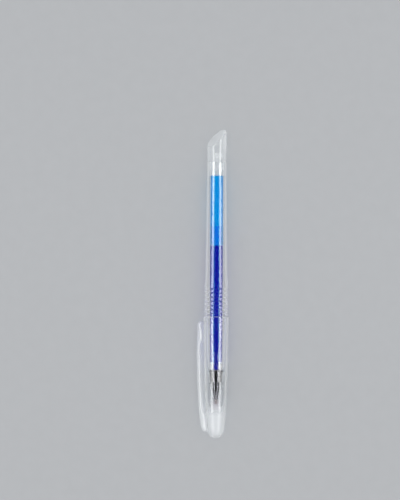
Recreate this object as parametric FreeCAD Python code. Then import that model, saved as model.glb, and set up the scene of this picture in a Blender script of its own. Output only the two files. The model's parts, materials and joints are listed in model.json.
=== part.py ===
import FreeCAD, Part
import math
import os

# A capped, non-retractable gel marking pen for fabric, lying on its side.
# Millimetres. While a piece is being made the pen's axis is the Y axis, a
# "station" is the distance along it from the closed end of the cap, and the
# pocket clip stands out towards -X. The whole pen is then laid on the floor.

V = FreeCAD.Vector
PEN_AXIS = V(0, 1, 0)

# Driving dimensions.
PEN_LENGTH = 151.0
GRIP_RADIUS = 5.78
TAIL_RADIUS = 4.82
PLUG_RADIUS = 4.64
LIP_RADIUS = 6.30
CAP_MOUTH = 59.1
CAP_WALL = 0.95
CAP_BORE_AT_MOUTH = 5.28
BARREL_FRONT = 27.3
BARREL_SHOULDER = 59.3
BARREL_REAR = 134.4
REFILL_RADIUS = 3.05
REFILL_BORE = 2.50
REFILL_FRONT = 36.4
REFILL_REAR = 130.0
INK_END = 93.7
GREASE_END = 128.0
BALL_RADIUS = 0.35
BALL_STATION = 17.05
CONE_REAR = 33.1
CONE_TIP = 19.0
CLIP_WIDTH = 4.4
CLIP_ROOT = 3.2
CLIP_TIP = 56.6

# Fits: the gap left round a running piece, the ball, the clip's root and the plug.
RUNNING = 0.05
BALL_FIT = 0.012
CLIP_FIT = 0.04
PLUG_FIT = 0.04

# How the pen lies: the clip is rolled down until it meets the floor, and the
# high side of the plug's slanted face is to the right and below.
CLIP_ROLL_DEG = 27.5
PLUG_TURN_DEG = 35.0
FLOOR_TILT_DEG = math.degrees(math.asin((LIP_RADIUS - PLUG_RADIUS) / (PEN_LENGTH - CAP_MOUTH)))


def run_edge(run):
    """One edge through (station, radius) points: a line for two, a smooth curve for more."""
    points = [V(radius, station, 0) for station, radius in run]
    if len(points) == 2:
        return Part.LineSegment(points[0], points[1]).toShape()
    curve = Part.BSplineCurve()
    curve.interpolate(points)
    return curve.toShape()


def closed_face(runs):
    """A flat face round the runs, with a straight line across each gap between them."""
    edges = []
    for number, run in enumerate(runs):
        edges.append(run_edge(run))
        following = runs[(number + 1) % len(runs)]
        if math.dist(run[-1], following[0]) > 1e-6:
            edges.append(run_edge([run[-1], following[0]]))
    return Part.Face(Part.Wire(edges))


def turned(*runs):
    """A solid of revolution about the pen's axis."""
    return closed_face(runs).revolve(V(0, 0, 0), PEN_AXIS, 360)


def tube(front, rear, outer, inner):
    """A straight tube along the axis."""
    return turned([(front, inner), (front, outer)], [(rear, outer), (rear, inner)])


def rod(front, rear, radius):
    """A straight rod along the axis."""
    return Part.makeCylinder(radius, rear - front, V(0, front, 0), PEN_AXIS)


# ---- the pen's body -------------------------------------------------------

NECK_RADIUS = 1.70
NECK_FRONT = 28.7
POINT_RADIUS = 1.15
POINT_SHOULDER = 24.0
POINT_WAIST_REAR = 20.9
POINT_WAIST_FRONT = 18.3
CONE_RADIUS = 2.15
CONE_BORE = NECK_RADIUS + RUNNING
REAR_BORE = 3.90


GRIP_REAR = 73.6
TAPER_REAR = 124.0


def grip_grooves():
    """The shallow round grooves of the grip."""
    count = 7
    pitch = 2.0
    first = BARREL_SHOULDER + 1.3
    section = 0.75
    depth = 0.34
    ring_radius = GRIP_RADIUS + section - depth
    return [
        Part.makeTorus(ring_radius, section, V(0, first + pitch * number, 0), PEN_AXIS)
        for number in range(count)
    ]


def make_barrel():
    """The clear tube: nose sleeve, spigot inside the cap, grip and tapering body."""
    sleeve_radius = 3.35
    spigot_radius = 5.00
    bead_radius = CAP_BORE_AT_MOUTH - RUNNING
    nose = [(BARREL_FRONT, sleeve_radius), (34.0, 4.0), (44.0, 4.65), (54.0, spigot_radius)]
    bead = [(54.8, spigot_radius), (55.8, bead_radius), (56.8, spigot_radius)]
    taper = [
        (GRIP_REAR, GRIP_RADIUS),
        (80.0, 5.48),
        (98.0, 5.19),
        (115.0, 5.00),
        (TAPER_REAR, TAIL_RADIUS),
    ]
    shoulder_bevel = 0.15
    # The bore holds the refill closely in front and opens out behind the guide.
    guide_rear = 61.0
    guide_bore = REFILL_RADIUS + RUNNING
    funnel_rear = guide_rear + 10
    stop_front = REFILL_FRONT - RUNNING
    stop_bore = 2.3
    bore = [
        [(BARREL_REAR, REAR_BORE), (funnel_rear, REAR_BORE)],
        [(guide_rear, guide_bore), (stop_front, guide_bore)],
        [(stop_front, stop_bore), (CONE_REAR, stop_bore)],
        [(CONE_REAR, CONE_RADIUS), (BARREL_FRONT, CONE_RADIUS)],
    ]
    solid = turned(
        nose,
        bead,
        [(BARREL_SHOULDER, spigot_radius), (BARREL_SHOULDER, GRIP_RADIUS - shoulder_bevel)],
        [(BARREL_SHOULDER + 2 * shoulder_bevel, GRIP_RADIUS), (GRIP_REAR, GRIP_RADIUS)],
        taper,
        [(TAPER_REAR, TAIL_RADIUS), (BARREL_REAR, TAIL_RADIUS)],
        *bore,
    )
    for groove in grip_grooves():
        solid = solid.cut(groove)
    return solid


def make_nose_cone():
    """The plated cone pressed into the barrel's nose sleeve."""
    tip_radius = 0.85
    tip_bore = 0.66
    point_bore = POINT_RADIUS + 0.1
    ledge = NECK_FRONT - 0.3
    flank = [(CONE_TIP, tip_radius), (22.5, 1.42), (BARREL_FRONT, CONE_RADIUS)]
    return turned(
        [(CONE_TIP, tip_bore), (CONE_TIP, tip_radius)],
        flank,
        [(BARREL_FRONT, CONE_RADIUS), (CONE_REAR, CONE_RADIUS)],
        [(CONE_REAR, CONE_BORE), (ledge, CONE_BORE)],
        [(ledge, point_bore), (POINT_SHOULDER + 0.2, point_bore)],
        [(POINT_WAIST_REAR, tip_bore), (CONE_TIP, tip_bore)],
    )


# ---- the refill -----------------------------------------------------------

HOLDER_REAR = 42.0
HOLDER_STEP = 37.2
HOLDER_BORE = 2.10
POINT_REAR = 33.4
INK_CHANNEL = 0.90


def make_refill_tube():
    """The long translucent tube that holds the ink."""
    return tube(REFILL_FRONT, REFILL_REAR, REFILL_RADIUS, REFILL_BORE)


def make_tip_holder():
    """The plastic adapter: a thin sleeve in the tube and a narrow neck round the metal point."""
    sleeve = tube(HOLDER_STEP, HOLDER_REAR, REFILL_BORE, HOLDER_BORE)
    floor = tube(REFILL_FRONT, HOLDER_STEP, REFILL_BORE, INK_CHANNEL)
    neck = tube(POINT_REAR, REFILL_FRONT, NECK_RADIUS, INK_CHANNEL)
    socket = tube(NECK_FRONT, POINT_REAR, NECK_RADIUS, POINT_RADIUS)
    return sleeve.fuse([floor, neck, socket]).removeSplitter()


def make_writing_point():
    """The turned metal point with its ink channel and the socket for the ball."""
    rim_station = BALL_STATION - 0.19
    rim_radius = 0.41
    waist_radius = 0.62
    body = turned(
        [(rim_station, 0), (rim_station, rim_radius)],
        [(POINT_WAIST_FRONT, waist_radius), (POINT_WAIST_REAR, waist_radius)],
        [(POINT_SHOULDER, POINT_RADIUS), (POINT_REAR, POINT_RADIUS)],
        [(POINT_REAR, 0), (rim_station, 0)],
    )
    fine_channel = rod(BALL_STATION, POINT_SHOULDER, 0.20)
    wide_channel = rod(POINT_SHOULDER - 1.5, POINT_REAR, 0.75)
    socket = Part.makeSphere(BALL_RADIUS + BALL_FIT, V(0, BALL_STATION, 0))
    return body.cut([fine_channel, wide_channel, socket])


def make_ball():
    """The ball that rolls the ink on."""
    return Part.makeSphere(BALL_RADIUS, V(0, BALL_STATION, 0))


def make_ink_column():
    """The ink, from the back of the metal point to the follower."""
    channel = rod(POINT_REAR, HOLDER_STEP, INK_CHANNEL)
    in_sleeve = rod(HOLDER_STEP, HOLDER_REAR, HOLDER_BORE)
    column = rod(HOLDER_REAR, INK_END, REFILL_BORE)
    return channel.fuse([in_sleeve, column])


FLOAT_RADIUS = 1.60
FLOAT_LENGTH = 9.6
FOLLOWER_START = INK_END + 0.02
GREASE_FIT = 0.02


def make_follower_float():
    """The plastic rod that keeps the follower square in the tube."""
    return rod(FOLLOWER_START, FOLLOWER_START + FLOAT_LENGTH, FLOAT_RADIUS)


def make_follower_grease():
    """The coloured grease plug that follows the ink down the tube."""
    slug = rod(FOLLOWER_START, GREASE_END, REFILL_BORE - GREASE_FIT)
    return slug.cut(make_follower_float())


# ---- the end plug ---------------------------------------------------------

PLUG_MIDDLE = 146.75
PLUG_SLOPE = 1.12
PLUG_EDGE_ROUND = 0.75


def make_end_plug():
    """The slant-cut tail plug: a spigot in the barrel and a socket for the refill."""
    spigot_radius = REAR_BORE - PLUG_FIT
    spigot_front = 127.6
    socket_end = REFILL_REAR + 0.4
    seat = BARREL_REAR + PLUG_FIT
    head = rod(seat, PEN_LENGTH + 2, PLUG_RADIUS)
    # A half-space box whose lower face is the slant, rising towards +X.
    reach = 40.0
    slant = math.degrees(math.atan(PLUG_SLOPE))
    cutter = Part.makeBox(reach, reach, reach, V(-reach / 2, 0, -reach / 2))
    cutter.rotate(V(0, 0, 0), V(0, 0, 1), slant)
    cutter.translate(V(0, PLUG_MIDDLE, 0))
    head = head.cut(cutter)
    rim = [edge for edge in head.Edges if edge.isClosed() and edge.BoundBox.YLength > PLUG_RADIUS]
    head = head.makeFillet(PLUG_EDGE_ROUND, rim)
    head.rotate(V(0, 0, 0), PEN_AXIS, PLUG_TURN_DEG)
    spigot = rod(spigot_front, seat, spigot_radius)
    socket = rod(spigot_front, socket_end, REFILL_RADIUS + RUNNING)
    cored_hole = rod(socket_end - 1, BARREL_REAR + 4.6, 1.0)
    return head.fuse(spigot).cut([socket, cored_hole]).removeSplitter()


# ---- the cap --------------------------------------------------------------


CAP_DOME = [(0.0, 0.0), (0.35, 1.9), (1.3, 3.05), (3.4, 3.88), (6.4, 4.45)]
CAP_FLANK = [(6.4, 4.45), (13.4, 4.97), (23.2, 5.47), (36.0, 5.85), (50.0, 6.10), (56.6, 6.18)]


def cap_outline(clearance=0.0):
    """The cap's outside from the closed end to the lip, grown sideways by the clearance."""
    dome = [(station, radius + clearance) for station, radius in CAP_DOME]
    flank = [(station, radius + clearance) for station, radius in CAP_FLANK]
    return dome, flank


def make_cap():
    """The outer cap: a rounded closed end, a slow flare and a beaded lip."""
    dome, flank = cap_outline()
    bore_flank = [(station, radius - CAP_WALL) for station, radius in flank[:4]]
    bore_front = (50.0, CAP_BORE_AT_MOUTH)
    lip_edge = 0.3
    end_wall = 1.3
    return turned(
        dome,
        flank,
        [(57.0, LIP_RADIUS), (CAP_MOUTH - lip_edge, LIP_RADIUS)],
        [(CAP_MOUTH, LIP_RADIUS - lip_edge), (CAP_MOUTH, CAP_BORE_AT_MOUTH)],
        [(CAP_MOUTH, CAP_BORE_AT_MOUTH), bore_front],
        [bore_front, *reversed(bore_flank)],
        [bore_flank[0], (end_wall + 1.1, 2.75)],
        [(end_wall + 0.1, 1.6), (end_wall, 0)],
    )


INNER_CAP_END = 12.9
INNER_CAP_MOUTH = 26.6
THIMBLE_WALL = 0.7
SEAL_RADIUS = 1.85


def make_inner_cap(cap):
    """The thimble that seals round the nose cone, carried by four fins inside the cap."""
    crown = INNER_CAP_END + 1.2
    inner_end = INNER_CAP_END + THIMBLE_WALL
    thimble = turned(
        [(INNER_CAP_END, 0), (INNER_CAP_END + 0.2, 1.3), (crown, 2.35)],
        [(crown, 2.35), (INNER_CAP_MOUTH, 2.85)],
        [(INNER_CAP_MOUTH, 2.25), (19.5, SEAL_RADIUS)],
        [(19.5, SEAL_RADIUS), (inner_end, SEAL_RADIUS)],
        [(inner_end, SEAL_RADIUS), (inner_end, 0)],
    )
    fin_start = 15.5
    fin_thickness = 0.6
    inside = 2.3
    outside = 4.8
    fins = []
    for quarter in range(4):
        fin = Part.makeBox(
            outside - inside,
            INNER_CAP_MOUTH - 0.6 - fin_start,
            fin_thickness,
            V(inside - 0.1, fin_start, -fin_thickness / 2),
        )
        fin.rotate(V(0, 0, 0), PEN_AXIS, 45 + 90 * quarter)
        fins.append(fin.cut(rod(fin_start - 1, INNER_CAP_MOUTH, inside)))
    return thimble.fuse(fins).cut(cap)


def make_tip_seal():
    """The soft pad in the thimble, with a blind hole for the point."""
    front = INNER_CAP_END + THIMBLE_WALL
    rear = 18.6
    hole_floor = BALL_STATION - BALL_RADIUS - 0.08
    hole_radius = 0.72
    pad = rod(front, rear, SEAL_RADIUS)
    return pad.cut(rod(hole_floor, rear + 1, hole_radius))


def make_pocket_clip():
    """The spring clip: a root against the cap, a long arm and a bead near the free end."""
    arm_out = [(5.6, 7.35), (12.0, 8.35), (22.0, 9.10), (34.0, 9.66), (44.0, 9.76), (54.4, 9.40)]
    arm_in = [(45.6, 7.50), (34.0, 7.34), (24.0, 6.92), (16.0, 6.25), (12.2, 5.60)]
    bead = [(53.8, 7.25), (52.2, 6.62), (49.8, 6.30), (47.4, 6.62), (45.6, 7.50)]
    root_corner = [(CLIP_ROOT, 3.6), (CLIP_ROOT, 6.35)]
    nose = [(54.4, 9.40), (56.1, 9.05), (CLIP_TIP, 8.3)]
    side = closed_face(
        [
            root_corner,
            [(CLIP_ROOT + 0.5, 6.75), (5.6, 7.35)],
            arm_out,
            nose,
            [(CLIP_TIP, 7.75), (55.9, 7.25)],
            bead,
            arm_in,
            [(12.2, 5.60), (11.6, 4.6)],
            [(11.6, 4.0), (CLIP_ROOT, 3.6)],
        ]
    )
    # The side view is drawn on the +X side. It is given its width, then turned to -X.
    side.translate(V(0, 0, -CLIP_WIDTH / 2))
    solid = side.extrude(V(0, 0, CLIP_WIDTH))
    crown_radius = 9.9
    solid = solid.common(rod(0, PEN_LENGTH, crown_radius))
    solid.rotate(V(0, 0, 0), PEN_AXIS, 180)
    dome, flank = cap_outline(CLIP_FIT)
    beyond = CLIP_TIP + 1
    cap_space = turned([(0, 0), dome[0]], dome, flank, [(beyond, flank[-1][1]), (beyond, 0)])
    return solid.cut(cap_space)


# ---- the whole pen --------------------------------------------------------


def lay_down(shapes):
    """Tilts the pen until lip and tail meet the floor, and centres it over the origin."""
    tilt = FreeCAD.Rotation(V(1, 0, 0), -FLOOR_TILT_DEG)
    tilted = FreeCAD.Placement(V(0, 0, 0), tilt)
    for shape in shapes.values():
        shape.transformShape(tilted.toMatrix())
    box = Part.makeCompound(list(shapes.values())).optimalBoundingBox(True, False)
    shift = V(-box.Center.x, -box.Center.y, -box.ZMin)
    for shape in shapes.values():
        shape.translate(shift)
    print("box", [round(v, 4) for v in (box.XLength, box.YLength, box.ZLength)])
    direction = tilt.multVec(PEN_AXIS)
    print("axis direction", [round(v, 6) for v in direction])
    for name, station in (("mouth", CAP_MOUTH), ("tail", BARREL_REAR), ("ball", BALL_STATION)):
        place = tilt.multVec(V(0, station, 0)) + shift
        print(name, [round(v, 4) for v in place])


def make_all():
    """Every piece of the pen by name."""
    cap = make_cap()
    clip = make_pocket_clip()
    clip.rotate(V(0, 0, 0), PEN_AXIS, -CLIP_ROLL_DEG)
    return {
        "barrel": make_barrel(),
        "nose_cone": make_nose_cone(),
        "end_plug": make_end_plug(),
        "refill_tube": make_refill_tube(),
        "tip_holder": make_tip_holder(),
        "writing_point": make_writing_point(),
        "ball": make_ball(),
        "ink_column": make_ink_column(),
        "follower_float": make_follower_float(),
        "follower_grease": make_follower_grease(),
        "cap": cap,
        "inner_cap": make_inner_cap(cap),
        "tip_seal": make_tip_seal(),
        "pocket_clip": clip,
    }


shapes = make_all()
lay_down(shapes)
os.makedirs("parts", exist_ok=True)
for node, shape in shapes.items():
    print(node, shape.ShapeType, len(shape.Solids), shape.isValid(), round(shape.Volume, 2))
    shape.exportStep("parts/" + node + ".step")
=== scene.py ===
import bmesh
import bpy
import json
import math
from mathutils import Matrix, Vector


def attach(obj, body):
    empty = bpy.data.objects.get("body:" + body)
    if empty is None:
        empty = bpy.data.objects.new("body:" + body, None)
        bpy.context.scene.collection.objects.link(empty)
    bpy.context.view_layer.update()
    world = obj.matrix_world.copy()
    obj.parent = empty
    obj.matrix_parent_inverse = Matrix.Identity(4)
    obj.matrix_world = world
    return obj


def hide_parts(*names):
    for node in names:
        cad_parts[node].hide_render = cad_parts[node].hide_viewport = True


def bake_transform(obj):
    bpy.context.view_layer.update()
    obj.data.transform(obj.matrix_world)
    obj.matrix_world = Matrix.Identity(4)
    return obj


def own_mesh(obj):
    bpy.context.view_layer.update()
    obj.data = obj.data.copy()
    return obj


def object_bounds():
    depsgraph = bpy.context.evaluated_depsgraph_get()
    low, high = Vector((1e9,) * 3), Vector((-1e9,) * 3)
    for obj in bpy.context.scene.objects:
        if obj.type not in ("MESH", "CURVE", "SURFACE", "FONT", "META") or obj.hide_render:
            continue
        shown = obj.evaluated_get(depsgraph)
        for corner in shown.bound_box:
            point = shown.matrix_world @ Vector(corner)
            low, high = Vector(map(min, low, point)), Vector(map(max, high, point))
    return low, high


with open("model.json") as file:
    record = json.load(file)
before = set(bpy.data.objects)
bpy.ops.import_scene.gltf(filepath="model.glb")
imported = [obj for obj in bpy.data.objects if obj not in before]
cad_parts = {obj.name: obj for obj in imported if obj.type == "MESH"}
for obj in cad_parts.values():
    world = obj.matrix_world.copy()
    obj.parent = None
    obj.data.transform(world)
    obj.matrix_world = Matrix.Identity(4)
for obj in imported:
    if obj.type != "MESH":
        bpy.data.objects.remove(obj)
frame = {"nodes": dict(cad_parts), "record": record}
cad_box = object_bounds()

# A capped gel marking pen lying on its side. Pieces are drawn in the pen's own
# frame, in millimetres: a "station" is the distance along the axis from the cap's
# closed end. PEN takes (across, station, up) to the row frame in metres.

MM = 0.001
ROUND_STEPS = 144


# ---- the pen's frame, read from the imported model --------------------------


def pen_frame():
    """The matrix from the pen's millimetres to the row's metres."""
    post = next(m for m in frame["record"]["mounts"] if m["name"] == "rear_post")
    axis = Vector(post["axis"]).normalized()
    on_axis = Vector(post["pos_m"])
    across = Vector((1, 0, 0))
    up = across.cross(axis).normalized()
    closed_end = min(v.co.dot(axis) for v in frame["nodes"]["cap"].data.vertices)
    start = on_axis + axis * (closed_end - on_axis.dot(axis))
    columns = Matrix((across * MM, axis * MM, up * MM)).transposed()
    return Matrix.Translation(start) @ columns.to_4x4()


PEN = pen_frame()
TO_PEN = PEN.inverted()


class Span:
    """Where a CAD node begins and ends along the axis, and its largest radius, in mm."""

    def __init__(self, node):
        points = [TO_PEN @ v.co for v in frame["nodes"][node].data.vertices]
        self.front = min(p.y for p in points)
        self.rear = max(p.y for p in points)
        self.radius = max(math.hypot(p.x, p.z) for p in points)


cap = Span("cap")
barrel = Span("barrel")
cone = Span("nose_cone")
tube = Span("refill_tube")
holder = Span("tip_holder")
point = Span("writing_point")
ball = Span("ball")
ink = Span("ink_column")
grease = Span("follower_grease")
stick = Span("follower_float")
plug = Span("end_plug")
thimble = Span("inner_cap")
seal = Span("tip_seal")


# ---- outlines -------------------------------------------------------------


def curve(before, start, end, after, t):
    """A Catmull-Rom curve from start, where t is 0, to end, where t is 1."""
    slope = (end - before) * t
    bend = (2 * before - 5 * start + 4 * end - after) * t * t
    twist = (3 * start - before - 3 * end + after) * t * t * t
    return 0.5 * (2 * start + slope + bend + twist)


def flow(points, steps=6):
    """A smooth curve through (station, radius) points."""
    out = []
    last = len(points) - 1
    for i in range(last):
        near = (points[max(i - 1, 0)], points[i], points[i + 1], points[min(i + 2, last)])
        for step in range(steps):
            out.append(tuple(curve(*numbers, step / steps) for numbers in zip(*near)))
    out.append(points[-1])
    return out


def soften(points, size, closed=False):
    """The outline with its corners rounded, and a support point on each side of a rounding."""
    slightest_turn = math.radians(14)
    share_of_side = 0.42
    room_for_support = 2.6
    support_at = 1.5
    steps = 4
    out = []
    count = len(points)
    for i, here in enumerate(points):
        if not closed and i in (0, count - 1):
            out.append(here)
            continue
        p = Vector(here)
        to_last = Vector(points[i - 1]) - p
        to_next = Vector(points[(i + 1) % count]) - p
        turn = math.pi - to_last.angle(to_next, math.pi)
        if turn < slightest_turn:
            out.append(here)
            continue
        reach = min(size, share_of_side * to_last.length, share_of_side * to_next.length)
        a = p + to_last.normalized() * reach
        b = p + to_next.normalized() * reach
        if to_last.length > room_for_support * reach:
            out.append(tuple(p + to_last.normalized() * reach * support_at))
        for step in range(steps + 1):
            t = step / steps
            out.append(tuple(a * (1 - t) ** 2 + p * 2 * t * (1 - t) + b * t * t))
        if to_next.length > room_for_support * reach:
            out.append(tuple(p + to_next.normalized() * reach * support_at))
    return out


def long_runs(points):
    """The outline with its long straight runs divided."""
    longest = 3.0
    out = [points[0]]
    for a, b in zip(points, points[1:]):
        parts = max(1, math.ceil(math.dist(a, b) / longest))
        for n in range(1, parts + 1):
            t = n / parts
            out.append((a[0] + (b[0] - a[0]) * t, a[1] + (b[1] - a[1]) * t))
    return out


# ---- meshes ---------------------------------------------------------------


def mesh_object(name, bm, matrix=PEN):
    """A smooth-shaded object from a bmesh drawn in the pen's frame."""
    bmesh.ops.transform(bm, matrix=matrix, verts=bm.verts)
    bmesh.ops.recalc_face_normals(bm, faces=bm.faces)
    mesh = bpy.data.meshes.new(name)
    bm.to_mesh(mesh)
    bm.free()
    for polygon in mesh.polygons:
        polygon.use_smooth = True
    obj = bpy.data.objects.new(name, mesh)
    bpy.context.scene.collection.objects.link(obj)
    return obj


def join_rings(bm, rings):
    """Skins a row of rings, where a ring of one vertex is a pole."""
    for low, high in zip(rings, rings[1:]):
        count = max(len(low), len(high))
        for n in range(count):
            m = (n + 1) % count
            if len(low) == 1:
                bm.faces.new((low[0], high[n], high[m]))
            elif len(high) == 1:
                bm.faces.new((low[n], low[m], high[0]))
            else:
                bm.faces.new((low[n], low[m], high[m], high[n]))


def ring_of(bm, station_at, radius_at):
    """A ring of vertices whose station and radius may change with the angle."""
    angles = [2 * math.pi * n / ROUND_STEPS for n in range(ROUND_STEPS)]
    return [
        bm.verts.new((radius_at(a) * math.cos(a), station_at(a), radius_at(a) * math.sin(a)))
        for a in angles
    ]


def add_rings(bm, outline):
    """Adds a turned surface."""
    rings = []
    for station, radius in outline:
        if radius < 1e-6:
            rings.append([bm.verts.new((0, station, 0))])
            continue
        rings.append(ring_of(bm, lambda a: station, lambda a: radius))
    join_rings(bm, rings)
    return rings


def lathe(name, outline, closed=False):
    """A turned object. A closed outline is a ring section that never meets the axis."""
    bm = bmesh.new()
    outline = long_runs(outline + outline[:1] if closed else outline)
    if closed:
        rings = add_rings(bm, outline)
        bmesh.ops.remove_doubles(bm, verts=rings[0] + rings[-1], dist=1e-5)
    else:
        add_rings(bm, outline)
    return mesh_object(name, bm)


# ---- materials ------------------------------------------------------------


class Nodes:
    """A short way to build a node tree."""

    def __init__(self, name):
        self.material = bpy.data.materials.new(name)
        self.material.use_nodes = True
        self.tree = self.material.node_tree
        self.tree.nodes.clear()
        self.output = self.tree.nodes.new("ShaderNodeOutputMaterial")

    def add(self, kind, inputs=(), **settings):
        node = self.tree.nodes.new("ShaderNode" + kind)
        for key, value in settings.items():
            setattr(node, key, value)
        for key, value in dict(inputs).items():
            if isinstance(value, bpy.types.NodeSocket):
                self.tree.links.new(value, node.inputs[key])
            else:
                node.inputs[key].default_value = value
        return node

    def finish(self, shader):
        self.tree.links.new(shader, self.output.inputs["Surface"])
        return self.material

    def place(self):
        """Object coordinates in metres."""
        return self.add("TexCoord").outputs["Object"]

    def noise(self, scale, detail, stretch=(1, 1, 1)):
        """Noise from 0 to 1, drawn out along Y by a small stretch there."""
        mapping = self.add("Mapping", {"Vector": self.place(), "Scale": stretch})
        inputs = {"Vector": mapping.outputs[0], "Scale": scale, "Detail": detail, "Roughness": 0.5}
        return self.add("TexNoise", inputs).outputs["Fac"]

    def between(self, factor, low, high, start=0.3, end=0.7):
        """A number that goes from low to high as factor goes from start to end."""
        inputs = {"Value": factor, "From Min": start, "From Max": end, "To Min": low, "To Max": high}
        return self.add("MapRange", inputs).outputs[0]

    def station(self):
        """How far a point lies from the cap's closed end, in metres along the pen."""
        axis = (PEN.to_3x3() @ Vector((0, 1, 0))).normalized()
        reach = self.add("VectorMath", {0: self.place(), 1: axis}, operation="DOT_PRODUCT")
        start = PEN.translation.dot(axis)
        return self.add("Math", {0: reach.outputs["Value"], 1: start}, operation="SUBTRACT").outputs[0]

    def tint(self, factor, low, high):
        """A colour between two."""
        mix = self.add("Mix", data_type="RGBA")
        self.tree.links.new(factor, mix.inputs[0])
        mix.inputs[6].default_value = (*low, 1)
        mix.inputs[7].default_value = (*high, 1)
        return mix.outputs[2]

    def bump(self, height, distance, strength):
        """A normal from a height, with the distance in metres."""
        inputs = {"Height": height, "Distance": distance, "Strength": strength}
        return self.add("Bump", inputs).outputs[0]


def seen_through(nodes, surface, shade):
    """The surface as the camera and mirrors see it, and a clear tint for light on its way in."""
    path = nodes.add("LightPath")
    either = nodes.add("Math", operation="MAXIMUM")
    nodes.tree.links.new(path.outputs["Is Shadow Ray"], either.inputs[0])
    nodes.tree.links.new(path.outputs["Is Diffuse Ray"], either.inputs[1])
    clear = nodes.add("BsdfTransparent", {"Color": (*shade, 1)})
    mix = nodes.add("MixShader", {0: either.outputs[0], 1: surface, 2: clear.outputs[0]})
    return mix.outputs[0]


FROSTED_UNTIL = 11.0
CLEAR_FROM = 17.0
EDGE_STARTS = 0.22
EDGE_FULL = 0.40


class Milk:
    """How milky a plastic is: face on, along its edges and near the cap's closed end,
    where the frosting fades out between two stations."""

    def __init__(self, face, edge, closed_end=None, colour=(0.96, 0.975, 0.985)):
        self.face = face
        self.edge = edge
        self.closed_end = face if closed_end is None else closed_end
        self.colour = (*colour, 1)

    def over(self, nodes, surface, normal):
        """The surface with the milk mixed into it."""
        white = nodes.add("BsdfDiffuse", {"Color": self.colour, "Normal": normal})
        through = nodes.add("BsdfTranslucent", {"Color": self.colour})
        let_through = 0.2
        cloudy = nodes.add("MixShader", {0: let_through, 1: white.outputs[0], 2: through.outputs[0]})
        facing = nodes.add("LayerWeight", {"Blend": 0.4}).outputs["Facing"]
        fading = (FROSTED_UNTIL * MM, CLEAR_FROM * MM)
        on_face = nodes.between(nodes.station(), self.closed_end, self.face, *fading)
        amount = nodes.between(facing, on_face, self.edge, EDGE_STARTS, EDGE_FULL)
        return nodes.add("MixShader", {0: amount, 1: surface, 2: cloudy.outputs[0]}).outputs[0]


COOL_WHITE = (0.99, 0.994, 0.997)
COOL_SHADE = (0.96, 0.97, 0.98)
CLEAR_SHADE = (0.975, 0.98, 0.985)


def clear_plastic(
    name, roughness, ior, milk=None, tint=COOL_WHITE, shade=COOL_SHADE, coat=0.0, gloss=(1, 1, 1)
):
    """Moulded see-through plastic with faint flow waves and handling marks. The shade is
    what it does to light that only passes through, and gloss the tint of its reflections."""
    nodes = Nodes(name)
    flow_marks = nodes.noise(60, 2.0, (1, 0.12, 1))
    specks = nodes.noise(1400, 4.0)
    waves = nodes.bump(flow_marks, 0.00002, 0.16)
    scuff_inputs = {"Height": specks, "Distance": 0.000002, "Strength": 0.4, "Normal": waves}
    normal = nodes.add("Bump", scuff_inputs).outputs[0]
    lighter = tuple(min(1.0, c * 1.01) for c in tint)
    body = nodes.add(
        "BsdfPrincipled",
        {
            "Base Color": nodes.tint(flow_marks, tint, lighter),
            "Roughness": nodes.between(flow_marks, roughness * 0.7, roughness * 1.35),
            "IOR": ior,
            "Transmission Weight": 1.0,
            "Specular Tint": (*gloss, 1),
            "Coat Weight": coat,
            "Coat Roughness": roughness,
            "Coat IOR": 1.6,
            "Normal": normal,
        },
    )
    surface = body.outputs[0]
    if milk:
        surface = milk.over(nodes, surface, normal)
    return nodes.finish(seen_through(nodes, surface, shade))


def liquid(name, dye, deep, light, clearness, thin=None):
    """A dyed liquid against the wall of its tube. Dye is the colour that it lets through,
    deep and light are the colours of its streaks, and clearness how much is see-through.
    Thin gives a station and the clearness before it, where the liquid is a thin layer."""
    nodes = Nodes(name)
    streaks = nodes.noise(260, 4.0, (1, 0.05, 1))
    fine = nodes.noise(1800, 3.0, (1, 0.3, 1))
    normal = nodes.bump(streaks, 0.00001, 0.3)
    clear = nodes.add(
        "BsdfRefraction",
        {
            "Color": (1, 1, 1, 1),
            "Roughness": nodes.between(fine, 0.03, 0.08),
            "IOR": 1.40,
            "Normal": normal,
        },
    )
    cloudy = nodes.add("BsdfDiffuse", {"Color": nodes.tint(streaks, deep, light), "Normal": normal})
    amount = clearness
    if thin:
        end, clearer = thin
        half_fade = 0.4
        fading = ((end - half_fade) * MM, (end + half_fade) * MM)
        amount = nodes.between(nodes.station(), clearer, clearness, *fading)
    surface = nodes.add("MixShader", {0: amount, 1: cloudy.outputs[0], 2: clear.outputs[0]})
    taken_up_per_metre = 600.0
    bulk = nodes.add("VolumeAbsorption", {"Color": (*dye, 1), "Density": taken_up_per_metre})
    nodes.tree.links.new(bulk.outputs[0], nodes.output.inputs["Volume"])
    return nodes.finish(seen_through(nodes, surface.outputs[0], (1, 1, 1)))


def dyed_plastic(name, low, high):
    """Solid coloured plastic, a little cloudy."""
    nodes = Nodes(name)
    cloud = nodes.noise(700, 4.0, (1, 0.2, 1))
    body = nodes.add(
        "BsdfPrincipled",
        {
            "Base Color": nodes.tint(cloud, low, high),
            "Roughness": nodes.between(cloud, 0.4, 0.55),
            "Specular IOR Level": 0.1,
            "Normal": nodes.bump(cloud, 0.00001, 0.4),
        },
    )
    return nodes.finish(body.outputs[0])


def metal(name, low, high, roughness, lines, rim):
    """Plated or turned metal. Lines is how strongly its tool marks show, and rim how
    bright its edges are."""
    nodes = Nodes(name)
    marks = nodes.noise(5200, 2.0, (0.05, 1, 0.05))
    cloud = nodes.noise(500, 4.0)
    body = nodes.add(
        "BsdfPrincipled",
        {
            "Base Color": nodes.tint(cloud, low, high),
            "Metallic": 1.0,
            "Specular Tint": (rim, rim, rim, 1),
            "Roughness": nodes.between(cloud, roughness * 0.7, roughness * 1.5),
            "Normal": nodes.bump(marks, 0.000006, lines),
        },
    )
    return nodes.finish(body.outputs[0])


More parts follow.
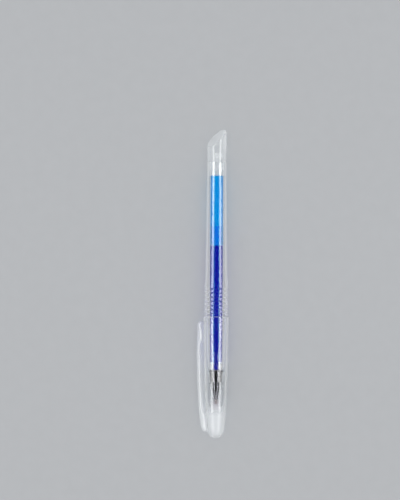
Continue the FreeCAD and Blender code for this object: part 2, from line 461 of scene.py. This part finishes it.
DULL = (0.3, 0.3, 0.3)
BARREL_CLEAR = clear_plastic("clear_barrel", 0.03, 1.52, Milk(0.0, 0.60), shade=CLEAR_SHADE, coat=1.0)
BORE_CLEAR = clear_plastic("clear_bore", 0.08, 1.52, shade=CLEAR_SHADE, gloss=DULL)
CAP_CLEAR = clear_plastic("milky_cap", 0.06, 1.48, Milk(0.0, 0.55, 0.36))
CLIP_CLEAR = clear_plastic("milky_clip", 0.06, 1.48, Milk(0.40, 0.70), coat=1.0)
INNER_CLEAR = clear_plastic("milky_inner_cap", 0.25, 1.05, Milk(0.0, 0.10, 0.30), gloss=DULL)
ADAPTER_CLEAR = clear_plastic("adapter", 0.10, 1.49, Milk(0.0, 0.10))
BLUE_GLOSS = (0.1, 0.75, 0.85)
TUBE_CLEAR = clear_plastic("refill_wall", 0.10, 1.49, shade=(0.97, 0.975, 0.98), gloss=BLUE_GLOSS)
PLUG_CLEAR = clear_plastic(
    "milky_plug",
    0.15,
    1.50,
    Milk(0.22, 0.5),
    tint=(0.97, 0.975, 0.98),
    shade=(0.93, 0.95, 0.96),
    coat=1.0,
)
SEAL_CLEAR = clear_plastic(
    "soft_seal",
    0.30,
    1.12,
    Milk(0.10, 0.5, colour=(0.93, 0.87, 0.89)),
    tint=(0.96, 0.92, 0.93),
    shade=(0.95, 0.93, 0.93),
)
INK = liquid("blue_ink", (0.03, 0.0, 0.84), (0.003, 0.003, 0.42), (0.005, 0.006, 0.50), 0.30)
GREASE = liquid(
    "blue_grease",
    (0.0, 0.79, 0.99),
    (0.0, 0.42, 1.0),
    (0.0, 0.50, 1.0),
    0.46,
    thin=(stick.rear, 0.66),
)
FLOAT = dyed_plastic("float_in_grease", (0.0, 0.03, 0.86), (0.0, 0.05, 0.94))
PLATED = metal("plated_cone", (0.14, 0.14, 0.155), (0.18, 0.18, 0.195), 0.05, 0.04, 0.2)
POINT_STEEL = metal("turned_point", (0.16, 0.15, 0.14), (0.22, 0.20, 0.19), 0.22, 0.20, 0.3)
BALL_STEEL = metal("ground_ball", (0.30, 0.30, 0.31), (0.36, 0.36, 0.37), 0.08, 0.05, 0.9)


def settle(obj, material, body, slot, *nodes):
    """Gives a finished piece its material and its body, and hides the CAD nodes it stands for. The slot
    is not used.
    """
    obj.data.materials.append(material)
    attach(obj, body)
    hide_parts(*nodes)
    return obj


# ---- the pen's body -------------------------------------------------------

TAIL_RADIUS = 4.82
REAR_BORE = 3.90
REFILL_FIT = 0.05
TUBE_BORE = 2.50
NECK_RADIUS = 1.70
POINT_RADIUS = 1.15
INK_CHANNEL = 0.90
SLEEVE_START = 37.2
SLEEVE_BORE = 2.10
SHOULDER = cap.rear + 0.2
CAP_BORE = 5.28


def grip():
    """The grip's outline: a short lead-in and rounded ribs with seven valleys between them."""
    top = barrel.radius
    pitch = 2.0
    first = SHOULDER + 1.3
    depth = 0.34
    half_rib = 0.49 * pitch
    steepest = 0.96
    steps = 7
    valleys = 7
    out = [(SHOULDER, top - 0.15), (SHOULDER + 0.2, top - 0.03)]
    for number in range(valleys):
        valley = first + pitch * number
        for step in range(-steps, steps + 1):
            from_crest = 1 - abs(step) / steps
            arc = 1 - math.sqrt(1 - steepest * from_crest**2)
            dip = depth * arc / (1 - math.sqrt(1 - steepest))
            out.append((valley + half_rib * step / steps, top - dip))
    return out


def make_barrel():
    spigot_radius = 5.00
    bead_radius = CAP_BORE - 0.05
    front = barrel.front
    nose = flow([(front, 3.35), (34.0, 4.0), (44.0, 4.65), (54.0, spigot_radius)], 5)
    bead = flow([(54.8, spigot_radius), (55.8, bead_radius), (56.8, spigot_radius)], 5)
    taper = flow(
        [(73.6, barrel.radius), (80.0, 5.48), (98.0, 5.19), (115.0, 5.00), (124.0, TAIL_RADIUS)], 6
    )
    bore = tube.radius + REFILL_FIT
    step = tube.front - REFILL_FIT
    corners = [
        (barrel.rear, TAIL_RADIUS),
        (barrel.rear, REAR_BORE),
        (71.0, REAR_BORE),
        (61.0, bore),
        (step, bore),
        (step, 2.3),
        (cone.rear, 2.3),
        (cone.rear, cone.radius),
        (front, cone.radius),
    ]
    outline = nose + bead + [(SHOULDER, spigot_radius)] + grip() + taper + corners
    shell = lathe("barrel", soften(outline, 0.18, closed=True), True)
    settle(shell, BARREL_CLEAR, "barrel", "clear_plastic", "barrel")
    shell.data.materials.append(BORE_CLEAR)
    for polygon in shell.data.polygons:
        middle = TO_PEN @ polygon.center
        in_bore = math.hypot(middle.x, middle.z) < REAR_BORE + 0.1
        if in_bore and middle.y > cone.rear:
            polygon.material_index = 1


def make_nose_cone():
    tip_radius = 0.85
    tip_bore = 0.66
    # A hair proud of the sleeve's bore, so that the plating is seen with no air round it.
    seat = cone.radius + 0.012
    bore = NECK_RADIUS + REFILL_FIT
    waist = flow([(cone.front, tip_radius), (22.5, 1.42), (barrel.front, seat)], 8)
    corners = [
        (cone.rear, seat),
        (cone.rear, bore),
        (holder.front - 0.3, bore),
        (holder.front - 0.3, POINT_RADIUS + 0.1),
        (24.2, POINT_RADIUS + 0.1),
        (20.9, tip_bore),
        (cone.front, tip_bore),
    ]
    outline = soften(waist + corners, 0.08, closed=True)
    settle(lathe("nose_cone", outline, True), PLATED, "barrel", "plated_metal", "nose_cone")


# ---- the refill -----------------------------------------------------------


def make_refill_tube():
    corners = [
        (tube.front, TUBE_BORE),
        (tube.front, tube.radius),
        (tube.rear, tube.radius),
        (tube.rear, TUBE_BORE),
    ]
    outline = soften(corners, 0.15, closed=True)
    settle(lathe("refill_tube", outline, True), TUBE_CLEAR, "refill", "refill_plastic", "refill_tube")


def make_tip_holder():
    corners = [
        (holder.front, POINT_RADIUS),
        (holder.front, NECK_RADIUS),
        (tube.front, NECK_RADIUS),
        (tube.front, TUBE_BORE + 0.01),
        (holder.rear, TUBE_BORE + 0.01),
        (holder.rear, SLEEVE_BORE),
        (SLEEVE_START, SLEEVE_BORE),
        (SLEEVE_START, INK_CHANNEL),
        (point.rear, INK_CHANNEL),
        (point.rear, POINT_RADIUS),
    ]
    outline = soften(corners, 0.12, closed=True)
    settle(lathe("tip_holder", outline, True), ADAPTER_CLEAR, "refill", "refill_plastic", "tip_holder")


def ball_centre():
    return (ball.front + ball.rear) / 2


def make_writing_point():
    """The point, open at the back, with a lipped socket round the ball."""
    socket_radius = ball.radius + 0.012
    rim = point.front
    depth = ball_centre() - rim
    mouth = math.sqrt(socket_radius**2 - depth**2)
    lead = math.acos(depth / socket_radius)
    wrap = math.radians(150) - lead
    steps = 10
    angles = [lead + wrap * n / steps for n in range(steps + 1)]
    socket = [
        (ball_centre() - socket_radius * math.cos(a), socket_radius * math.sin(a)) for a in angles
    ]
    channel_start = socket[-1][0]
    outside = [
        (point.rear, POINT_RADIUS),
        (24.0, POINT_RADIUS),
        (20.9, 0.62),
        (18.3, 0.62),
        (rim, mouth + 0.10),
    ]
    inside = socket + [
        (channel_start + 0.1, 0.18),
        (22.5, 0.18),
        (22.6, 0.75),
        (point.rear, 0.75),
    ]
    outline = soften(outside + inside, 0.12, closed=True)
    settle(lathe("writing_point", outline, True), POINT_STEEL, "refill", "point_metal", "writing_point")


def make_ball():
    middle = ball_centre()
    steps = 32
    angles = [math.pi * n / steps for n in range(steps + 1)]
    outline = [(middle - ball.radius * math.cos(a), ball.radius * math.sin(a)) for a in angles]
    outline[0] = (ball.front, 0)
    outline[-1] = (ball.rear, 0)
    settle(lathe("ball", outline), BALL_STEEL, "ball", "ball_metal", "ball")


WET_OVERLAP = 0.012
WETTED = TUBE_BORE + WET_OVERLAP


def make_ink():
    """The ink in the tube, which shortens as it is used, and the ink in the adapter."""
    corners = [(holder.rear, 0), (holder.rear, WETTED), (ink.rear, WETTED), (ink.rear, 0)]
    column = lathe("ink_column", soften(corners, 0.2))
    settle(column, INK, "refill", "blue_ink", "ink_column")
    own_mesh(column)

    channel, sleeve = INK_CHANNEL + WET_OVERLAP, SLEEVE_BORE + WET_OVERLAP
    corners = [
        (point.rear, 0),
        (point.rear, channel),
        (SLEEVE_START, channel),
        (SLEEVE_START, sleeve),
        (holder.rear, sleeve),
        (holder.rear, 0),
    ]
    core = lathe("ink_in_adapter", soften(corners, 0.1))
    core.data.materials.append(INK)
    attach(core, "refill")


def make_follower():
    """The grease slug, dished at the back, and the float at its front."""
    pocket = [(stick.rear, 0), (stick.rear, stick.radius), (stick.front, stick.radius)]
    sides = [(stick.front, WETTED), (grease.rear, WETTED)]
    dish = flow([(grease.rear, WETTED - 0.05), (grease.rear - 0.7, 1.1), (grease.rear - 0.9, 0)], 5)
    slug = lathe("follower_grease", soften(pocket + sides + dish, 0.12))
    settle(slug, GREASE, "follower", "blue_grease", "follower_grease")
    front, rear, radius = stick.front, stick.rear, stick.radius
    corners = [(front, 0), (front, radius), (rear, radius), (rear, 0)]
    body = lathe("follower_float", soften(corners, 0.3))
    settle(body, FLOAT, "follower", "refill_plastic", "follower_float")


# ---- the end plug ---------------------------------------------------------

PLUG_MIDDLE = 146.75
PLUG_SLOPE = 1.12
PLUG_TURN = math.radians(35)
PLUG_EDGE_ROUND = 0.75


def make_end_plug():
    """The head with its slanted face, the spigot and the hollow for the refill's tail."""
    radius = plug.radius
    spigot = REAR_BORE - 0.04
    hollow = tube.radius + REFILL_FIT
    hollow_end = tube.rear + 0.4
    seat = barrel.rear + 0.04
    vent = 1.0
    vent_end = 139.0
    inside = [(vent_end, 0), (vent_end, vent), (hollow_end, vent), (hollow_end, hollow)]
    lower = inside + [(plug.front, hollow), (plug.front, spigot), (seat, spigot), (seat, radius)]
    lower = long_runs(soften(lower, 0.2))

    def slant(angle, reach):
        return PLUG_MIDDLE + PLUG_SLOPE * reach * math.cos(angle + PLUG_TURN)

    def rounding(angle, share):
        """A point of the rounding between wall and face, as (station, radius)."""
        rise = PLUG_SLOPE * math.cos(angle + PLUG_TURN)
        half_corner = math.atan2(1, rise) / 2
        reach = PLUG_EDGE_ROUND / math.tan(half_corner)
        corner = Vector((slant(angle, radius), radius))
        start = corner - Vector((reach, 0))
        end = corner - Vector((rise, 1)).normalized() * reach
        weight = math.sin(half_corner)
        a, b, c = (1 - share) ** 2, 2 * weight * share * (1 - share), share**2
        return (start * a + corner * b + end * c) / (a + b + c)

    def outer_row(kind, share, angle):
        """A point of the wall, its rounding or the face, as (station, radius)."""
        if kind == "wall":
            return seat + (rounding(angle, 0)[0] - seat) * share, radius
        if kind == "edge":
            return rounding(angle, share)
        reach = rounding(angle, 1)[1] * (1 - share)
        return slant(angle, reach), reach

    wall_rows, edge_rows, face_rows = 9, 10, 8
    outer = [("wall", n / wall_rows) for n in range(1, wall_rows)]
    outer += [("edge", n / edge_rows) for n in range(edge_rows + 1)]
    outer += [("face", n / face_rows) for n in range(1, face_rows)]

    bm = bmesh.new()
    rings = [[bm.verts.new((0, vent_end, 0))]]
    for station, reach in lower[1:]:
        rings.append(ring_of(bm, lambda a: station, lambda a: reach))
    for kind, share in outer:
        rings.append(
            ring_of(
                bm, lambda a: outer_row(kind, share, a)[0], lambda a: outer_row(kind, share, a)[1]
            )
        )
    rings.append([bm.verts.new((0, PLUG_MIDDLE, 0))])
    join_rings(bm, rings)
    settle(mesh_object("end_plug", bm), PLUG_CLEAR, "end_plug", "milky_plastic", "end_plug")


# ---- the cap --------------------------------------------------------------

CAP_WALL = 0.95
DOME = [(0.0, 0.0), (0.35, 1.9), (1.3, 3.05), (3.4, 3.88), (6.4, 4.45)]
FLANK = [(6.4, 4.45), (13.4, 4.97), (23.2, 5.47), (36.0, 5.85), (50.0, 6.10), (56.6, 6.18)]


def height_at(points, station):
    """The height of an outline at a station, with straight lines between its points."""
    for (s0, r0), (s1, r1) in zip(points, points[1:]):
        if s0 <= station <= s1:
            return r0 + (r1 - r0) * (station - s0) / (s1 - s0)
    return points[-1][1] if station > points[-1][0] else points[0][1]


def radius_of_cap(station):
    """The cap's outside radius at a station."""
    return height_at(DOME + FLANK[1:], station)


def make_cap():
    outside = flow(DOME + FLANK[1:], 8)
    lip = [
        (57.0, cap.radius),
        (cap.rear - 0.3, cap.radius),
        (cap.rear, cap.radius - 0.3),
        (cap.rear, CAP_BORE),
        (50.0, CAP_BORE),
    ]
    thinner = [(station, radius - CAP_WALL) for station, radius in FLANK if station <= 36.0]
    inside = flow(thinner[::-1] + [(2.4, 2.75), (1.4, 1.6), (1.3, 0)], 6)
    outline = outside + soften([outside[-1]] + lip + [inside[0]], 0.2)[1:-1] + inside
    settle(lathe("cap", outline), CAP_CLEAR, "cap", "milky_plastic", "cap")


def add_fin(bm, angle, low, high, inside, thickness):
    """One thin fin of the thimble, from inside to the cap's wall, with softened edges."""
    sheet = bmesh.new()
    sides = []
    for half in (-thickness / 2, thickness / 2):
        loop = []
        for station, ends in ((low, (0, 1)), (high, (1, 0))):
            reach = (inside, radius_of_cap(station) - CAP_WALL + 0.02)
            loop += [sheet.verts.new((reach[end], station, half)) for end in ends]
        sides.append(loop)
    front, back = sides
    sheet.faces.new(front[::-1])
    sheet.faces.new(back)
    for n in range(4):
        m = (n + 1) % 4
        sheet.faces.new((front[n], front[m], back[m], back[n]))
    bmesh.ops.bevel(sheet, geom=sheet.edges[:], offset=0.12, segments=2, affect="EDGES")
    bmesh.ops.rotate(sheet, verts=sheet.verts, cent=(0, 0, 0), matrix=Matrix.Rotation(angle, 3, "Y"))
    part = bpy.data.meshes.new("fin")
    sheet.to_mesh(part)
    sheet.free()
    bm.from_mesh(part)
    bpy.data.meshes.remove(part)


def make_inner_cap():
    """The thimble round the point and the four fins that carry it."""
    front, mouth = thimble.front, thimble.rear
    wall = 0.7
    outside = flow([(front, 0), (front + 0.2, 1.3), (front + 1.2, 2.35), (mouth, 2.85)], 6)
    inside = [
        (mouth, 2.25),
        (19.5, seal.radius),
        (front + wall, seal.radius),
        (front + wall, 0),
    ]
    outline = outside + soften([outside[-1]] + inside, 0.2)[1:]
    bm = bmesh.new()
    add_rings(bm, long_runs(outline))
    for quarter in range(4):
        angle = math.radians(45 + 90 * quarter)
        add_fin(bm, angle, front + 2.6, mouth - 0.6, 2.3, 0.6)
    settle(mesh_object("inner_cap", bm), INNER_CLEAR, "cap", "milky_plastic", "inner_cap")


def make_tip_seal():
    hole = 0.72
    floor = ball.front - 0.08
    corners = [
        (seal.front, 0),
        (seal.front, seal.radius),
        (seal.rear, seal.radius),
        (seal.rear, hole),
        (floor, hole),
        (floor, 0),
    ]
    settle(lathe("tip_seal", soften(corners, 0.25)), SEAL_CLEAR, "cap", "soft_seal", "tip_seal")


CLIP_WIDTH = 4.4
CLIP_ROLL = math.radians(27.5)
CLIP_NOSE = 1.4
CLIP_HEEL = 0.8
CLIP_FRONT = 3.2
CLIP_REAR = 56.6
CLIP_OUT = [
    (CLIP_FRONT, 6.35),
    (5.6, 7.35),
    (12.0, 8.35),
    (22.0, 9.10),
    (34.0, 9.66),
    (44.0, 9.76),
    (54.4, 9.40),
    (56.1, 9.05),
]
CLIP_IN = [(12.2, 5.60), (16.0, 6.25), (24.0, 6.92), (34.0, 7.34), (45.6, 7.50)]
CLIP_BEAD = [(45.6, 7.50), (47.4, 6.62), (49.8, 6.30), (52.2, 6.62), (53.8, 7.25), (55.9, 7.25)]


def clip_stations():
    """Stations along the clip, closer together at its rounded ends."""
    body_start = CLIP_FRONT + CLIP_HEEL
    body_end = CLIP_REAR - CLIP_NOSE
    arm_steps = 66
    nose_steps = 8
    stations = [CLIP_FRONT + 0.02, CLIP_FRONT + 0.15, CLIP_FRONT + 0.4, body_start]
    stations += [
        body_start + (body_end - body_start) * n / arm_steps for n in range(1, arm_steps + 1)
    ]
    stations += [
        body_end + CLIP_NOSE * math.sin(math.pi / 2 * n / nose_steps) for n in range(1, nose_steps)
    ]
    return stations + [CLIP_REAR]


def clip_section(outer, inner, station):
    """The arm at a station: its top, its bottom and half its width."""
    root_end = inner[0][0]
    sunk_by = 0.35
    rises_over = 1.6
    nose_top, nose_bottom, nose_side = 0.75, 0.55, 0.75
    heel_top, heel_side = 0.55, 0.4
    top = height_at(outer, station)
    bottom = height_at(inner, station)
    if station < root_end:
        sunk = radius_of_cap(station) - sunk_by
        rising = max(0.0, 1 - (root_end - station) / rises_over)
        bottom = sunk + (bottom - sunk) * rising**2
    from_front = max(0.0, 1 - (station - CLIP_FRONT) / CLIP_HEEL) ** 2
    from_rear = max(0.0, 1 - (CLIP_REAR - station) / CLIP_NOSE)
    pinch = 1 - math.sqrt(max(0.0, 1 - from_rear**2))
    top -= nose_top * pinch + heel_top * from_front
    bottom += nose_bottom * pinch
    return top, bottom, CLIP_WIDTH / 2 - nose_side * pinch - heel_side * from_front


def make_pocket_clip():
    """The clip: rounded sections along the arm, sunk into the cap's wall at the root."""
    outer = flow(CLIP_OUT, 8)
    inner = flow(CLIP_IN, 8) + flow(CLIP_BEAD, 8)[1:]
    corners = 0.42
    crown = 0.14
    section_steps = 40
    bm = bmesh.new()
    rings = []
    for station in clip_stations():
        top, bottom, half_width = clip_section(outer, inner, station)
        ring = []
        for n in range(section_steps):
            angle = 2 * math.pi * n / section_steps
            c, s = math.cos(angle), math.sin(angle)
            height = (top + bottom) / 2 + math.copysign(abs(c) ** corners, c) * (top - bottom) / 2
            across = math.copysign(abs(s) ** corners, s) * half_width
            if c > 0:
                height -= crown * (2 * across / CLIP_WIDTH) ** 2
            ring.append(bm.verts.new((-height, station, across)))
        rings.append(ring)
    ends = []
    for ring in (rings[0], rings[-1]):
        centre = sum((v.co for v in ring), Vector()) / section_steps
        ends.append([bm.verts.new(centre)])
    join_rings(bm, ends[:1] + rings + ends[1:])
    lean = PEN @ Matrix.Rotation(-CLIP_ROLL, 4, "Y")
    clip = mesh_object("pocket_clip", bm, lean)
    clip.data.materials.append(CLIP_CLEAR)
    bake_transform(clip)
    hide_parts("pocket_clip")


# ---- stage, lights and camera ---------------------------------------------


def make_floor():
    bm = bmesh.new()
    bmesh.ops.create_grid(bm, x_segments=2, y_segments=2, size=3.0)
    ground = mesh_object("floor", bm, Matrix.Identity(4))
    nodes = Nodes("pale_floor")
    grain = nodes.noise(180, 5.0)
    colour = nodes.tint(grain, (0.46, 0.47, 0.485), (0.49, 0.50, 0.515))
    body = nodes.add("BsdfPrincipled", {"Base Color": colour, "Roughness": 0.75})
    ground.data.materials.append(nodes.finish(body.outputs[0]))


def soft_light(name, degrees, distance, width, length, radiance, shines):
    """A soft panel parallel to the pen, aimed at it. Degrees are from the vertical. One
    that shines is seen in gloss and through glass, and the others only light what is matte."""
    light = bpy.data.lights.new(name, "AREA")
    light.shape = "RECTANGLE"
    light.size = width
    light.size_y = length
    light.energy = radiance * math.pi * width * length
    obj = bpy.data.objects.new(name, light)
    angle = math.radians(degrees)
    obj.location = (distance * math.sin(angle), 0, distance * math.cos(angle))
    obj.rotation_euler = (0, angle, 0)
    obj.visible_diffuse = not shines
    obj.visible_glossy = shines
    obj.visible_transmission = shines
    bpy.context.scene.collection.objects.link(obj)


def make_world():
    """A pale room that gloss hardly mirrors, so that the panels shape the highlights."""
    room_light = 0.60
    room_in_gloss = 0.03
    world = bpy.data.worlds.new("studio")
    world.use_nodes = True
    tree = world.node_tree
    path = tree.nodes.new("ShaderNodeLightPath")
    strength = tree.nodes.new("ShaderNodeMapRange")
    strength.inputs["To Min"].default_value = room_light
    strength.inputs["To Max"].default_value = room_in_gloss
    tree.links.new(path.outputs["Is Glossy Ray"], strength.inputs["Value"])
    background = tree.nodes["Background"]
    background.inputs["Color"].default_value = (0.97, 0.985, 1.0, 1)
    tree.links.new(strength.outputs[0], background.inputs["Strength"])
    bpy.context.scene.world = world


def make_lights():
    """Two strips for the long highlights, two dim panels low at the sides, and a soft fill."""
    strip = {"distance": 0.55, "width": 0.22, "length": 0.8, "radiance": 4.3, "shines": True}
    panel = {"distance": 1.1, "width": 0.5, "length": 0.9, "radiance": 0.5, "shines": True}
    fill = {"distance": 1.0, "width": 1.3, "length": 1.6, "radiance": 0.95, "shines": False}
    for side in (-1, 1):
        soft_light("strip", side * 42, **strip)
        soft_light("side", side * 76, **panel)
    soft_light("fill", 0, **fill)


def make_camera():
    """Straight down on the pen, a little off its middle and turned by a third of a degree."""
    low, high = cad_box
    length = high.y - low.y
    middle = (low + high) / 2
    aside = 0.0529
    towards_tail = 0.1078
    roll = math.radians(0.286)
    right = Vector((math.cos(roll), math.sin(roll), 0))
    up = Vector((-math.sin(roll), math.cos(roll), 0))
    on_pen = Vector((PEN.translation.x, middle.y, middle.z))
    aim = on_pen - right * aside * length + up * towards_tail * length
    lens = 100.0
    sensor = 36.0
    frame_height = 1.618 * length
    camera = bpy.data.cameras.new("camera")
    camera.lens = lens
    camera.sensor_width = sensor
    camera.clip_start = 0.05
    camera.clip_end = 10.0
    obj = bpy.data.objects.new("camera", camera)
    obj.location = aim + Vector((0, 0, frame_height * lens / sensor))
    obj.rotation_euler = (0, 0, roll)
    bpy.context.scene.collection.objects.link(obj)
    bpy.context.scene.camera = obj


def set_up_scene():
    scene = bpy.context.scene
    scene.view_settings.view_transform = "Standard"
    scene.cycles.max_bounces = 32
    scene.cycles.transmission_bounces = 32
    scene.cycles.transparent_max_bounces = 48
    scene.cycles.glossy_bounces = 8
    scene.cycles.diffuse_bounces = 4
    scene.cycles.caustics_refractive = False
    scene.cycles.caustics_reflective = False


make_barrel()
make_nose_cone()
make_refill_tube()
make_tip_holder()
make_writing_point()
make_ball()
make_ink()
make_follower()
make_end_plug()
make_cap()
make_inner_cap()
make_tip_seal()
make_pocket_clip()
make_floor()
make_world()
make_lights()
make_camera()
set_up_scene()
